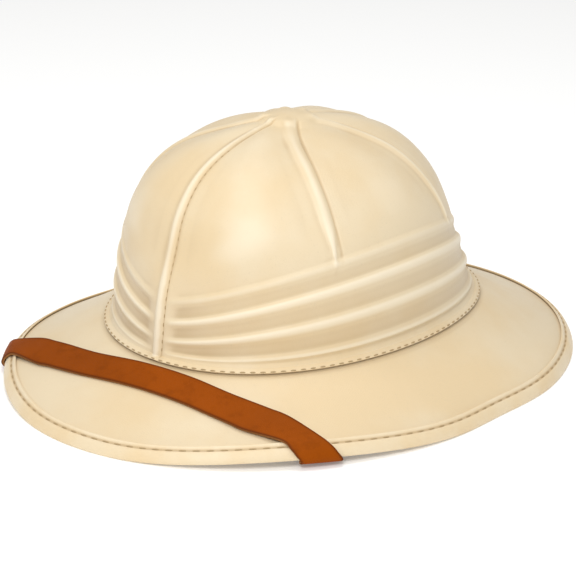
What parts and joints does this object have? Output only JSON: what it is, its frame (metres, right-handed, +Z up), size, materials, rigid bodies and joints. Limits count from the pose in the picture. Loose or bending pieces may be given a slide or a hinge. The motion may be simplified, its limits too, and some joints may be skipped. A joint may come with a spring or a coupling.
{
  "type": "pith helmet",
  "caption": "Pith helmet with a ribbed, moulded crown, pleats round its foot, a sloping brim with a bound edge and a leather chin strap worn over the front.",
  "frame": {"origin": "the middle of the hat's base, on the surface that its rim rests on", "axes": "+Z up, the hat's front at -Y and its back at +Y, the wearer's left at +X"},
  "size_m": [0.263, 0.3274, 0.1338],
  "materials": {
    "crown_cloth": "satin cream cloth over a moulded shell",
    "brim_cloth": "satin cream cloth over a moulded shell",
    "binding_cloth": "cream woven tape",
    "strap_leather": "smooth brown leather"
  },
  "bodies": {
    "root": {"crown": "crown_cloth", "brim": "brim_cloth", "brim_binding": "binding_cloth", "chin_strap": "strap_leather"}
  },
  "joints": []
}
